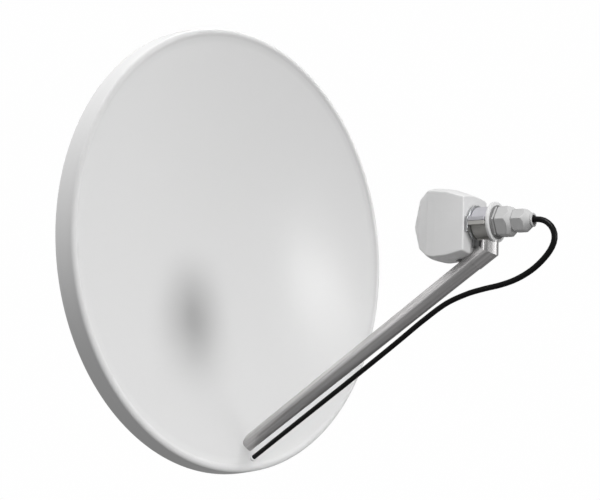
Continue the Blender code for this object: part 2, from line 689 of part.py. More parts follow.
def make_cable_entry(mats):
    """Bush in the reflector that takes the cable's end, with a nut behind."""
    way = cable_entry_direction()

    def ring(step, radius):
        return round_ring(CABLE_ENTRY + way * step, way, radius, 24)

    head = ENTRY_HEAD[0][0]
    end = ENTRY_HEAD[-1][0]
    rings = [ring(ENTRY_SEAT, CABLE_R + GAP), ring(head, CABLE_R + GAP)]
    rings += [ring(step, radius) for step, radius in ENTRY_HEAD]
    rings += [ring(end, ENTRY_BORE_R), ring(end / 2, ENTRY_BORE_R)]
    chain("cable_entry", rings, mats["plastic"])
    shank = ENTRY_HEAD[-1][1] + GAP
    nut = [hex_ring(CABLE_ENTRY + way * step, way, ENTRY_NUT_FLATS, ENTRY_NUT_FLATS * 0.56) for step in ENTRY_NUT]
    nut += [ring(step, shank) for step in reversed(ENTRY_NUT)]
    chain("cable_entry_nut", nut, mats["plastic"], closed=True, smooth_angle=25)


# Mast mount

def side_hole(name, y, z):
    rings = [round_ring(Vector((x, y, z)), ACROSS, HOLE_R, 20, BACK) for x in (-70, 70)]
    return cutter(name, rings)


def lock_slot():
    """Curved slot for the elevation lock bolts, about the pivot."""
    low, high = 90 - LOCK_SWING, 90 + LOCK_SWING
    high_end = arc(LOCK_RADIUS, high, high, 1)[0]
    low_end = arc(LOCK_RADIUS, low, low, 1)[0]
    outline = arc(LOCK_RADIUS + HOLE_R, low, high, 10)
    outline += arc(HOLE_R, high, high + 180, 6, high_end)[1:-1]
    outline += arc(LOCK_RADIUS - HOLE_R, high, low, 10)
    outline += arc(HOLE_R, low + 180, low + 360, 6, low_end)[1:-1]
    rings = [[Vector((x, PIVOT_Y + u, PIVOT_Z + v)) for u, v in outline] for x in (-70, 70)]
    return cutter("lock_slot", rings)


def make_reflector_bracket(mats):
    """Base plate with two ears, on four studs welded to the reflector's back."""
    front = RIM_Y + STANDOFF_TO_BASE
    half_w, half_h, cut = BASE_WIDTH / 2, BASE_HEIGHT / 2, BASE_CORNER_CUT
    outline = [(-half_w + cut, -half_h), (half_w - cut, -half_h), (half_w, -half_h + cut), (half_w, half_h - cut),
               (half_w - cut, half_h), (-half_w + cut, half_h), (-half_w, half_h - cut), (-half_w, -half_h + cut)]
    rings = [[Vector((x, y, z)) for x, z in outline] for y in (front, front + BASE_PLATE)]
    bracket = chain("reflector_bracket", rings, mats["steel"])
    root = front + BASE_PLATE / 2
    taper_y, taper_z = EAR_REAR_Y - EAR_TAPER, EAR_HALF_HEIGHT - EAR_TAPER
    ear = [(root, -EAR_HALF_HEIGHT), (taper_y, -EAR_HALF_HEIGHT), (EAR_REAR_Y, -taper_z),
           (EAR_REAR_Y, taper_z), (taper_y, EAR_HALF_HEIGHT), (root, EAR_HALF_HEIGHT)]
    inside = CHANNEL_HALF_WIDTH + GAP
    for side, label in ((-1, "l"), (1, "r")):
        faces = [[Vector((side * x, y, z)) for y, z in ear] for x in (inside, inside + EAR_PLATE)]
        boolean(bracket, cutter(f"bracket_ear_{label}", faces), "UNION")
    boolean(bracket, side_hole("ear_pivot_hole", PIVOT_Y, PIVOT_Z))
    boolean(bracket, lock_slot())

    places = [(x, z) for x in (-STUD_X, STUD_X) for z in (-STUD_Z, STUD_Z)]
    for number, (x, z) in enumerate(places, start=1):
        place = Vector((x, front, z))
        hole = [round_ring(place + BACK * step, BACK, HOLE_R, 20) for step in (-6, 10)]
        boolean(bracket, cutter(f"stud_hole_{number}", hole))
        start = bowl_y(x, z, SHELL) - front
        spacer = [round_ring(place + BACK * step, BACK, SPACER_R, 16) for step in (start + 1.0, -GAP)]
        spacer += [round_ring(place + BACK * step, BACK, HOLE_R, 16) for step in (-GAP, start + 1.0)]
        chain(f"stud_spacer_{number}", spacer, mats["plastic"], closed=True)
        stations = stud_stations(start + 0.5, BASE_PLATE + GAP, NUT_THICK, STUD_END, BOLT_R, NUT_FLATS)
        fastener(f"mount_stud_{number}", place, BACK, stations, mats["steel"])


def make_mast_bracket(mats):
    """Channel with a flat web that a mast bears against, held by two U-bolts."""
    w, depth, t = CHANNEL_HALF_WIDTH, CHANNEL_DEPTH, CHANNEL_PLATE
    outline = [(-w, 0), (-w, -depth), (-w + t, -depth), (-w + t, -t), (w - t, -t), (w - t, -depth), (w, -depth), (w, 0)]
    half = CHANNEL_HEIGHT / 2
    rings = [[Vector((x, y, z)) for x, y in outline] for z in (-half, half)]
    bracket = chain("mast_bracket", rings, mats["steel"])
    boolean(bracket, side_hole("channel_pivot_hole", PIVOT_Y, PIVOT_Z))
    boolean(bracket, side_hole("channel_lock_hole", PIVOT_Y, PIVOT_Z + LOCK_RADIUS))
    for name, z in (("lower", -U_BOLT_Z), ("upper", U_BOLT_Z)):
        for label, x in (("l", -U_BOLT_LEG_X), ("r", U_BOLT_LEG_X)):
            hole = [round_ring(Vector((x, y, z)), BACK, HOLE_R, 20) for y in (-10, 5)]
            boolean(bracket, cutter(f"u_bolt_hole_{name}_{label}", hole))
        make_u_bolt(f"u_bolt_{name}", z, mats)

    nut = CHANNEL_HALF_WIDTH - CHANNEL_PLATE - GAP
    head = CHANNEL_HALF_WIDTH + GAP + EAR_PLATE + GAP
    stations = [(nut - NUT_THICK - BOLT_END, BOLT_R, None), (nut - NUT_THICK, BOLT_R, None),
                (nut - NUT_THICK, None, NUT_FLATS), (nut, None, NUT_FLATS), (nut, BOLT_R, None),
                (head, BOLT_R, None), (head, None, NUT_FLATS), (head + BOLT_HEAD, None, NUT_FLATS)]
    for side, label in ((-1, "l"), (1, "r")):
        for kind, z in (("pivot", PIVOT_Z), ("lock", PIVOT_Z + LOCK_RADIUS)):
            fastener(f"{kind}_bolt_{label}", Vector((0, PIVOT_Y, z)), ACROSS * side, stations, mats["steel"])


def make_u_bolt(name, z, mats):
    """A bent rod: two legs through the web, and a half circle behind the mast."""
    bends = 12
    legs_end = -CHANNEL_PLATE - NUT_THICK - U_BOLT_END
    path = [(Vector((-U_BOLT_LEG_X, legs_end, z)), BACK), (Vector((-U_BOLT_LEG_X, U_BOLT_LEG_LENGTH, z)), BACK)]
    for i in range(1, bends):
        a = math.pi * i / bends
        centre = Vector((-U_BOLT_LEG_X * math.cos(a), U_BOLT_LEG_LENGTH + U_BOLT_LEG_X * math.sin(a), z))
        path.append((centre, Vector((math.sin(a), math.cos(a), 0))))
    path += [(Vector((U_BOLT_LEG_X, U_BOLT_LEG_LENGTH, z)), -BACK), (Vector((U_BOLT_LEG_X, legs_end, z)), -BACK)]
    chain(name, [round_ring(centre, way, BOLT_R, 12, UP) for centre, way in path], mats["steel"])
    for x, label in ((-U_BOLT_LEG_X, "l"), (U_BOLT_LEG_X, "r")):
        front = Vector((x, -CHANNEL_PLATE - GAP, z))
        rings = [hex_ring(front - BACK * step, -BACK, NUT_FLATS, NUT_FLATS * 0.56, 12) for step in (0, NUT_THICK)]
        rings += [round_ring(front - BACK * step, -BACK, BOLT_R + 0.5, 12) for step in (NUT_THICK, 0)]
        chain(f"{name}_nut_{label}", rings, mats["steel"], closed=True, smooth_angle=25)


def main():
    clear_scene()
    mats = make_materials()
    make_reflector(mats)
    make_arm(mats)
    make_elbow(mats)
    make_arm_socket(mats)
    make_feed_head(mats)
    make_clamp(mats)
    make_hanger(mats)
    make_cable(mats)
    make_cable_entry(mats)
    make_reflector_bracket(mats)
    make_mast_bracket(mats)


main()
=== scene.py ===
"""Looks for the wireless dish antenna, built around its CAD model.

Same frame as the part: +Z up, the reflector faces -Y, the origin is on the mast bracket's rear face.
Sizes of the part are in millimetres and are turned into metres when a mesh is made. The camera, the lights
and the stage are placed in metres.
"""
import json
import math

import bmesh
import bpy
from mathutils import Matrix, Vector


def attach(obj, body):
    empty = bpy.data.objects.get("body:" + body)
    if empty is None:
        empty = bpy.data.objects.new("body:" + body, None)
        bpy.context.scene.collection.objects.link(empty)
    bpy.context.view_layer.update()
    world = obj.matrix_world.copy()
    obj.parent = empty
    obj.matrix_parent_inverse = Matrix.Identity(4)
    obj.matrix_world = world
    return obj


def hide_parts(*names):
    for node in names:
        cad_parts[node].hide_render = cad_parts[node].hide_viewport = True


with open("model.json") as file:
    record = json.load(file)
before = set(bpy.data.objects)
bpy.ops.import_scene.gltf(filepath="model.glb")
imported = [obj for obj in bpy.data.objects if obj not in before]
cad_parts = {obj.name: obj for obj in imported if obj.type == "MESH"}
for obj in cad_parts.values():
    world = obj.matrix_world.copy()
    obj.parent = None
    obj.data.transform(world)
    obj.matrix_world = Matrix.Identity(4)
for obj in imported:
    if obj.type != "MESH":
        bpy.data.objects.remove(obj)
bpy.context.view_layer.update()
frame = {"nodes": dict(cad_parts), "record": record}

MM = 0.001
BODY = "root"
GAP = 0.3
ACROSS = Vector((1, 0, 0))

# Camera, fitted to the photograph. Angles are in degrees
CAMERA_PLACE = Vector((-0.9689, -1.1291, -0.1901))
CAMERA_AZIMUTH = -47.942
CAMERA_ELEVATION = -7.587
CAMERA_LENS = 46.20
SENSOR_WIDTH = 36.0

# Brightness of the surroundings below, level and above. The tilt makes them brighter behind the part by that
# share, and darker in front of it
WORLD_BELOW = 0.20
WORLD_LEVEL = 0.37
WORLD_ABOVE = 0.60
WORLD_TILT = 0.05

# Stage
FLOOR_SIZE = 60.0
FLOOR_HEIGHT = -1.6
DOME_RADIUS = 50.0
STAGE_BRIGHTNESS = 0.995

# What the lights aim at: two spots in the bowl, the feed unit, and a point between the feed and the reflector
BOWL_LOW = Vector((-0.090, -0.089, -0.134))
BOWL_SIDE = Vector((0.220, -0.103, -0.051))
FEED = Vector((0.0, -0.62, -0.02))
MIDDLE = Vector((0.0, -0.3, -0.1))
LIGHT_DISTANCE = 2.5
HIGH_LIGHT_DISTANCE = 3.0

# Pieces that lights pick out
DISH_PIECES = ("reflector_shell",)
TUBE_PIECES = ("feed_arm", "feed_elbow")
HEAD_PIECES = ("feed_cover", "feed_body", "neck", "flange", "gasket", "gland_hexagon", "gland_cap",
               "clamp_top", "clamp_bottom")

# Procedural detail: the band of the noise that is spread over the shades, how fine it is in a plain and in a
# drawn finish, and how far a drawn finish is stretched
NOISE_LOW = 0.3
NOISE_HIGH = 0.7
NOISE_DETAIL = 5.0
STREAK_DETAIL = 1.0
STREAK_LENGTH = 40.0
GRAIN_DETAIL = 2.0
GRAIN_STRENGTH = 0.4
LEAST_ROUGHNESS = 0.02

# Reflector. The rim's profile is given as pairs of inset and depth behind the rim plane, in finer steps than
# the part's. The bowl's rings crowd towards the rim where the crowding is below 1
RIM_Y = -149.0
DISH_WIDTH = 750.0
DISH_HEIGHT = 788.0
BOWL_DEPTH = 68.0
LIP_INSET = 13.0
LIP_DEPTH = 4.2
SHELL = 2.2
RIM_SEGMENTS = 288
RIM_STEPS = 3
BOWL_RINGS = 26
RING_CROWDING = 0.8
FRONT_LIP = ((11.0, 2.6), (8.5, 0.7), (6.0, 0.0), (3.5, 0.0), (1.2, 0.8), (-0.3, 2.5), (-1.0, 5.0),
             (-1.7, 8.0))
SKIRT = ((-2.9, 13.5), (-4.2, 20.0), (-5.4, 26.0))
HEM = ((-6.4, 31.0), (-6.4, 33.0), (-5.5, 34.2), (-3.0, 34.6), (-0.8, 33.6), (-0.4, 31.5), (-2.3, 29.8),
       (-4.0, 27.0))
INSIDE = ((-3.3, 24.0), (-1.0, 14.0))
BACK_LIP = ((1.0, 5.4), (1.6, 3.6), (2.6, 2.5), (4.0, 2.0), (5.8, 2.0), (7.4, 2.5), (9.6, 4.2), (12.0, 6.3))

# Feed arm and elbow
ARM_SIDE = 22.8
ARM_WALL = 1.6
ARM_CORNER = 6.5
ARM_FOOT = Vector((0, RIM_Y + 16.0, -348.0))
ELBOW = Vector((0, RIM_Y - 461.0, -48.5))
ARM_BEHIND_DISH = 46.0
ARM_IN_SLEEVE = 10.0
SLEEVE_LENGTH = 26.0
SLEEVE_SIDE = 24.4
SLEEVE_CORNER = ARM_CORNER + 0.6
SLEEVE_CHAMFER = 0.4
CHAMFER_CORNER = ARM_CORNER + 0.4

# Feed unit, along its own axis. Stations run from the middle of the clamp, away from the reflector
FEED_CENTRE = Vector((0, RIM_Y - 457.0, -9.3))
FEED_DROP = math.radians(3.0)
NECK_R = 19.7
NECK_BORE = 16.5
FLANGE_BORE = 12.0
CABLE_R = 4.0

# Clamp round the neck, with the steps of its long arcs and of those beside its pad
CLAMP_R = 22.5
CLAMP_FROM = -10.5
CLAMP_TO = 14.4
CLAMP_PAD = 2.6
CLAMP_PAD_HALF = 4.0
CLAMP_ROUND = 0.7
LUG_X = 30.0
LUG_RISE = 5.7
ARC_STEPS = 48
PAD_ARC_STEPS = 18

# Feed housing: station, half width, top edge, bottom edge, crown above, crown below, and how far the
# top and bottom edges stand in from the ridge at mid height
HOUSING_REAR = (-15.5, 33.0, 34.7, -41.2, 4.1, 3.0, 0.0)
HOUSING_MIDDLE = (-42.0, 36.0, 43.3, -47.5, 6.1, 5.5, 0.0)
COVER_SEAM = (-62.0, 34.4, 46.2, -49.0, 7.0, 6.3, 0.0)
COVER_SHOULDER = (-76.0, 32.2, 47.9, -47.0, 6.3, 5.0, 0.5)
COVER_BROW = (-94.2, 24.9, 37.2, -35.2, 3.0, 3.0, 1.9)
COVER_NOSE = (-107.3, 15.8, 6.5, -9.5, 1.0, 1.0, 3.1)
CROWN_STEPS = 12
CROWN_POWER = 2.3
HOUSING_ROUND = 2.0

# Turned pieces on the feed's axis: station and radius
NECK = ((-15.4, NECK_R), (14.8, NECK_R))
FLANGE = ((15.0, 27.5), (15.3, 28.3), (16.0, 28.6), (18.0, 28.6), (18.7, 28.3), (19.0, 27.5))
GASKET = ((19.1, 23.2), (19.5, 23.6), (20.5, 23.6), (20.9, 23.2))
GLAND_SEAL = ((47.0, 6.4), (68.3, 6.4), (69.0, 5.8))
TURNED_POINTS = 96

# Gland pieces: station and radius of the turned outline, which cuts a hexagon's corners
GLAND_BODY = ((21.0, 22.2), (21.4, 22.9), (23.2, 23.1), (23.7, 22.8), (23.9, 21.2), (25.0, 21.2),
              (25.4, 21.9), (27.0, 22.6), (37.8, 22.6), (39.4, 21.8), (41.2, 20.2), (43.2, 18.2),
              (44.9, 16.4), (45.8, 15.3))
GLAND_BODY_FLATS = 39.2
GLAND_BODY_TURN = math.radians(-4)
GLAND_BODY_BORE = 9.0
GLAND_NUT = ((46.1, 15.1), (46.6, 15.8), (48.2, 17.0), (60.0, 17.0), (61.6, 16.2), (63.6, 14.8),
             (66.0, 12.8), (68.4, 10.9), (70.0, 9.8), (70.5, 9.2), (71.2, 9.1), (71.5, 9.6), (72.6, 9.5),
             (73.0, 8.9))
GLAND_NUT_FLATS = 29.4
GLAND_NUT_TURN = math.radians(-5)
GLAND_NUT_BORE = 6.8
HEXAGON_POINTS = 144
HEXAGON_STEP = 0.5

# Groove in the gland's hexagon, whose faces are painted dark as shade: its stations, and the radius that its
# faces lie within
GROOVE_FROM = 23.5
GROOVE_TO = 25.3
GROOVE_R = 22.2

# Hanger plate. Its tail starts inside the ring, bends at the hip, passes over the elbow's sleeve and comes
# down on the arm behind it
HANGER_PLATE = 3.2
HANGER_RING_R = 25.5
HANGER_WING_X = 30.5
HANGER_WING_TOP = 6.9
HANGER_WING_LOW = -14.8
HANGER_LOW_STEPS = 40
HANGER_ROUND = 0.5
TAIL_THICK = 3.0
TAIL_HALF_WIDTH = 8.0
TAIL_INSIDE_RING = 3.0
TAIL_TO_HIP = 6.0
TAIL_OVER_ARM = 1.6
TAIL_DROP_FROM = SLEEVE_LENGTH + 3.0
TAIL_DROP_TO = SLEEVE_LENGTH + 6.0
TAIL_END = 46.0

# Bush where the cable passes into the reflector: distance along the cable's way and radius. The cable ends in
# its front bore
CABLE_ENTRY = Vector((0, RIM_Y + 5.0, -372.5))
ENTRY_HEAD = ((-3.4, 4.6), (-3.3, 5.4), (-2.9, 6.2), (-2.3, 6.6), (-1.6, 6.6), (-1.6, 4.9), (16.0, 4.9))
ENTRY_FRONT_BORE_END = -0.6
ENTRY_BACK_BORE = 3.2
ENTRY_POINTS = 64

# CAD nodes that stay: how near points are joined, and the rounding of their edges
WELD_DISTANCE = 0.02
FRAME_ROUND = 0.35


def feed_axes():
    """The feed's own axis, away from the reflector, and the direction square to it that points up."""
    away = Vector((0, -math.cos(FEED_DROP), -math.sin(FEED_DROP)))
    up = Vector((0, -math.sin(FEED_DROP), math.cos(FEED_DROP)))
    return away, up


def feed_point(x, station, height):
    away, up = feed_axes()
    return FEED_CENTRE + Vector((x, 0, 0)) + away * station + up * height


def arm_axes():
    """Direction from the arm's foot to the elbow, and the direction square to it that points up."""
    along = (ELBOW - ARM_FOOT).normalized()
    return along, Vector((0, along.z, -along.y))


# The cable's route, as in the part. A bend is a pair of depth behind the rim plane and height
CABLE_START = (feed_point(0, 64.0, 0.0), feed_point(0, 69.0, 0.1), feed_point(0, 76.0, 0.6))
CABLE_BENDS = ((-544.0, -15.6), (-553.5, -24.5), (-557.5, -37.1), (-554.0, -50.7), (-543.0, -65.0),
               (-524.4, -80.0), (-501.0, -91.5), (-477.0, -98.0), (-452.0, -102.0), (-424.0, -108.0),
               (-389.4, -120.5), (-349.5, -144.2), (-301.0, -176.5), (-234.8, -219.5), (-147.8, -275.0),
               (-70.0, -324.5))
CABLE_SPACING = 6.0
CABLE_CURVE_STEPS = 24
CABLE_ROUNDNESS = 8


# Camera, lights and stage

def link(obj):
    bpy.context.scene.collection.objects.link(obj)
    return obj


def outward(azimuth, elevation):
    """The direction at an azimuth from -Y towards +X and an elevation, in degrees."""
    a, e = math.radians(azimuth), math.radians(elevation)
    return Vector((math.sin(a) * math.cos(e), -math.cos(a) * math.cos(e), math.sin(e)))


def make_camera():
    back = outward(CAMERA_AZIMUTH, CAMERA_ELEVATION)
    turn = math.radians(CAMERA_AZIMUTH)
    right = Vector((math.cos(turn), math.sin(turn), 0))
    camera = bpy.data.cameras.new("camera")
    camera.lens = CAMERA_LENS
    camera.sensor_width = SENSOR_WIDTH
    camera.clip_start = 0.01
    camera.clip_end = 200.0
    holder = link(bpy.data.objects.new("camera", camera))
    axes = Matrix((right, back.cross(right), back)).transposed().to_4x4()
    holder.matrix_world = Matrix.Translation(CAMERA_PLACE) @ axes
    bpy.context.scene.camera = holder


def make_world():
    """Soft light from all round: brighter from above than from below, and from behind than from in front."""
    world = bpy.data.worlds.new("studio")
    bpy.context.scene.world = world
    world.use_nodes = True
    nodes, links = world.node_tree.nodes, world.node_tree.links
    background = nodes["Background"]
    place = nodes.new("ShaderNodeTexCoord")
    split = nodes.new("ShaderNodeSeparateXYZ")
    links.new(place.outputs["Generated"], split.inputs[0])

    def spread(axis, low, high):
        """Turn the share of a direction that lies along an axis, -1 to 1, into a value from low to high."""
        node = nodes.new("ShaderNodeMapRange")
        node.inputs["From Min"].default_value = -1.0
        node.inputs["From Max"].default_value = 1.0
        node.inputs["To Min"].default_value = low
        node.inputs["To Max"].default_value = high
        links.new(split.outputs[axis], node.inputs["Value"])
        return node.outputs[0]

    ramp = nodes.new("ShaderNodeValToRGB")
    ramp.color_ramp.interpolation = "EASE"
    ramp.color_ramp.elements.new(0.5)
    for stop, brightness in zip(ramp.color_ramp.elements, (WORLD_BELOW, WORLD_LEVEL, WORLD_ABOVE)):
        stop.color = (brightness, brightness, brightness, 1)
    links.new(spread("Z", 0.0, 1.0), ramp.inputs["Fac"])
    links.new(ramp.outputs["Color"], background.inputs["Color"])
    links.new(spread("Y", 1.0 - WORLD_TILT, 1.0 + WORLD_TILT), background.inputs["Strength"])


def make_stage():
    """A white floor far below the part and a white backdrop all round it, which light nothing."""
    white = bpy.data.materials.new("stage_white")
    white.use_nodes = True
    shader = white.node_tree.nodes["Principled BSDF"]
    shader.inputs["Base Color"].default_value = (0.0, 0.0, 0.0, 1)
    shader.inputs["Specular IOR Level"].default_value = 0.0
    shader.inputs["Emission Color"].default_value = (1, 1, 1, 1)
    shader.inputs["Emission Strength"].default_value = STAGE_BRIGHTNESS
    bm = bmesh.new()
    bmesh.ops.create_grid(bm, x_segments=2, y_segments=2, size=FLOOR_SIZE)
    floor_mesh = bpy.data.meshes.new("floor")
    bm.to_mesh(floor_mesh)
    bm.clear()
    bmesh.ops.create_uvsphere(bm, u_segments=48, v_segments=24, radius=DOME_RADIUS)
    dome_mesh = bpy.data.meshes.new("backdrop")
    bm.to_mesh(dome_mesh)
    bm.free()
    for name, mesh, height in (("floor", floor_mesh, FLOOR_HEIGHT), ("backdrop", dome_mesh, 0.0)):
        mesh.materials.append(white)
        obj = link(bpy.data.objects.new(name, mesh))
        obj.location = (0, 0, height)
        obj.visible_diffuse = False
        obj.visible_glossy = False
        obj.visible_transmission = False
        obj.visible_shadow = False


def make_light(name, target, azimuth, elevation, size, energy, distance=LIGHT_DISTANCE,
               lit=(), unlit=(), blocked_by=(), mirrored=True, scattered=True):
    """A soft oval light at an azimuth and an elevation from the target that it aims at. size is its width
    and height. lit, unlit and blocked_by name the pieces that it lights, leaves out and is shaded by.
    mirrored and scattered say whether glossy and matt surfaces show it."""
    lamp = bpy.data.lights.new(name, "AREA")
    lamp.shape = "ELLIPSE"
    lamp.size, lamp.size_y = size
    lamp.energy = energy
    holder = link(bpy.data.objects.new(name, lamp))
    place = target + outward(azimuth, elevation) * distance
    aim = (target - place).to_track_quat("-Z", "Y")
    holder.matrix_world = Matrix.Translation(place) @ aim.to_matrix().to_4x4()
    holder.visible_glossy = mirrored
    holder.visible_diffuse = scattered
    if lit or unlit:
        receivers = bpy.data.collections.new(name + "_lit")
        for piece in lit or unlit:
            receivers.objects.link(bpy.data.objects[piece])
        for member in receivers.collection_objects:
            member.light_linking.link_state = "INCLUDE" if lit else "EXCLUDE"
        holder.light_linking.receiver_collection = receivers
    if blocked_by:
        blockers = bpy.data.collections.new(name + "_blockers")
        for piece in blocked_by:
            blockers.objects.link(bpy.data.objects[piece])
        holder.light_linking.blocker_collection = blockers


def make_lights():
    make_light("front_key", BOWL_LOW, 11.2, 15.0, (0.42, 0.50), 23.5,
               lit=DISH_PIECES, blocked_by=HEAD_PIECES, mirrored=False)
    make_light("front_shade", BOWL_LOW, 11.2, 15.0, (0.60, 0.60), 5.0, lit=DISH_PIECES, mirrored=False)
    make_light("front_feed", FEED, -5.0, 5.0, (0.80, 0.80), 24.0, unlit=DISH_PIECES + TUBE_PIECES)
    make_light("front_tube", FEED, -5.0, 6.0, (2.00, 0.60), 6.5, lit=TUBE_PIECES)
    make_light("arm_strip", FEED, -116.0, 4.0, (0.35, 2.0), 4.5, lit=TUBE_PIECES)
    make_light("post_strip", FEED, -80.0, 8.0, (0.35, 0.8), 0.5, lit=TUBE_PIECES)
    make_light("front_glow", BOWL_SIDE, 23.9, 9.4, (0.40, 0.13), 2.2, lit=DISH_PIECES, scattered=False)
    make_light("side_feed", FEED, -68.0, 52.0, (1.2, 1.2), 50.0, HIGH_LIGHT_DISTANCE,
               unlit=DISH_PIECES + TUBE_PIECES)
    make_light("back_tube", FEED, -120.0, 50.0, (1.2, 1.2), 48.0, HIGH_LIGHT_DISTANCE, lit=TUBE_PIECES)
    make_light("side_dish", MIDDLE, -112.0, 58.0, (1.2, 1.2), 55.0, HIGH_LIGHT_DISTANCE,
               lit=DISH_PIECES, mirrored=False)
    make_light("high_fill", BOWL_LOW, 60.0, 55.0, (0.80, 0.80), 17.0, lit=DISH_PIECES, mirrored=False)


# Finishes: each has fine procedural detail in its colour, gloss and surface

def finish(name, colour, roughness, metallic=0.0, mottle=0.02, mottle_size=30.0, gloss_spread=0.05,
           grain=0.0, grain_size=0.4, drawn=None, coat=(0.0, 0.08), specular=0.5):
    """mottle is the colour's spread, mottle_size and grain_size are in millimetres, grain is a bump's depth.
    drawn is the direction along which the detail is drawn out into streaks. coat is a clear coat's weight and
    roughness."""
    mat = bpy.data.materials.new(name)
    mat.use_nodes = True
    nodes, links = mat.node_tree.nodes, mat.node_tree.links
    shader = nodes["Principled BSDF"]
    shader.inputs["Metallic"].default_value = metallic
    shader.inputs["Coat Weight"].default_value = coat[0]
    shader.inputs["Coat Roughness"].default_value = coat[1]
    shader.inputs["Specular IOR Level"].default_value = specular
    place = nodes.new("ShaderNodeTexCoord")
    scale = nodes.new("ShaderNodeMapping")
    if drawn:
        scale.vector_type = "TEXTURE"
        scale.inputs["Rotation"].default_value = (math.atan2(drawn.z, drawn.y), 0, 0)
        scale.inputs["Scale"].default_value = (1, STREAK_LENGTH, 1)
    links.new(place.outputs["Object"], scale.inputs["Vector"])
    cloud = nodes.new("ShaderNodeTexNoise")
    cloud.inputs["Scale"].default_value = 1.0 / (mottle_size * MM)
    cloud.inputs["Detail"].default_value = STREAK_DETAIL if drawn else NOISE_DETAIL
    links.new(scale.outputs["Vector"], cloud.inputs["Vector"])
    shades = nodes.new("ShaderNodeValToRGB")
    dark, bright = shades.color_ramp.elements
    dark.position = NOISE_LOW
    bright.position = NOISE_HIGH
    dark.color = (*(c * (1 - mottle) for c in colour), 1)
    bright.color = (*(min(1.0, c * (1 + mottle)) for c in colour), 1)
    links.new(cloud.outputs["Fac"], shades.inputs["Fac"])
    links.new(shades.outputs["Color"], shader.inputs["Base Color"])
    gloss = nodes.new("ShaderNodeMapRange")
    gloss.inputs["From Min"].default_value = NOISE_LOW
    gloss.inputs["From Max"].default_value = NOISE_HIGH
    gloss.inputs["To Min"].default_value = max(LEAST_ROUGHNESS, roughness - gloss_spread)
    gloss.inputs["To Max"].default_value = roughness + gloss_spread
    links.new(cloud.outputs["Fac"], gloss.inputs["Value"])
    links.new(gloss.outputs[0], shader.inputs["Roughness"])
    if grain:
        speck = nodes.new("ShaderNodeTexNoise")
        speck.inputs["Scale"].default_value = 1.0 / (grain_size * MM)
        speck.inputs["Detail"].default_value = GRAIN_DETAIL
        bump = nodes.new("ShaderNodeBump")
        bump.inputs["Strength"].default_value = GRAIN_STRENGTH
        bump.inputs["Distance"].default_value = grain * MM
        links.new(scale.outputs["Vector"], speck.inputs["Vector"])
        links.new(speck.outputs["Fac"], bump.inputs["Height"])
        links.new(bump.outputs["Normal"], shader.inputs["Normal"])
    mat.diffuse_color = (*colour, 1)
    return mat


def make_finishes():
    return {
        "paint": finish("grey_powder_coat", (0.76, 0.76, 0.76), 0.34, mottle=0.003, mottle_size=120.0,
                        gloss_spread=0.004, grain=0.04, grain_size=1.2, coat=(0.5, 0.18), specular=0.03),
        "plastic": finish("white_plastic", (0.76, 0.76, 0.76), 0.42, mottle=0.015, mottle_size=25.0,
                          grain=0.03, grain_size=0.5),
        "gland": finish("gland_plastic", (0.55, 0.55, 0.55), 0.42, mottle=0.015, mottle_size=20.0,
                        grain=0.03, grain_size=0.5),
        # Painted shade: a dark grey plastic that stands in for the shade in the gasket's gap and in the
        # gland's groove
        "groove_shade": finish("painted_groove_shade", (0.20, 0.20, 0.20), 0.60, mottle=0.015, mottle_size=20.0,
                         grain=0.03, grain_size=0.5),
        "tube": finish("satin_tube", (0.56, 0.55, 0.55), 0.32, metallic=0.4, mottle=0.20, mottle_size=5.0,
                       gloss_spread=0.03, drawn=arm_axes()[0]),
        "post": finish("satin_post", (0.66, 0.65, 0.65), 0.24, metallic=1.0, mottle=0.16, mottle_size=5.0,
                       gloss_spread=0.03, drawn=feed_axes()[1]),
        "clamp": finish("cast_metal", (0.54, 0.535, 0.57), 0.50, metallic=0.25, mottle=0.04, mottle_size=10.0,
                        grain=0.05, grain_size=0.7),
        # Painted shade: a darker, warmer copy of the cast metal for the clamp's lower half, standing in for
        # its shade and dark reflections
        "clamp_shaded": finish("cast_metal_painted_shade", (0.50, 0.49, 0.47), 0.50, metallic=0.3, mottle=0.05,
                            mottle_size=10.0, grain=0.05, grain_size=0.7),
        # Painted shade: a darker copy of the zinc steel for the hanger's tail, standing in for the shade
        # between the tail and the arm
        "strap_shaded": finish("zinc_painted_shade", (0.30, 0.30, 0.305), 0.40, metallic=0.5, mottle=0.06, mottle_size=8.0,
                        grain=0.02, grain_size=0.5),
        "steel": finish("zinc_steel", (0.60, 0.61, 0.62), 0.36, metallic=1.0, mottle=0.07, mottle_size=8.0,
                        grain=0.02, grain_size=0.5),
        "rubber": finish("black_rubber", (0.03, 0.03, 0.03), 0.6, mottle=0.15, mottle_size=6.0,
                         grain=0.03, grain_size=0.5),
        "jacket": finish("cable_jacket", (0.004, 0.004, 0.0042), 0.34, mottle=0.1, mottle_size=20.0,
                         grain=0.02, grain_size=0.8, specular=0.18),
    }


# Mesh building: every piece but the lead is a chain of rings of points, joined by faces

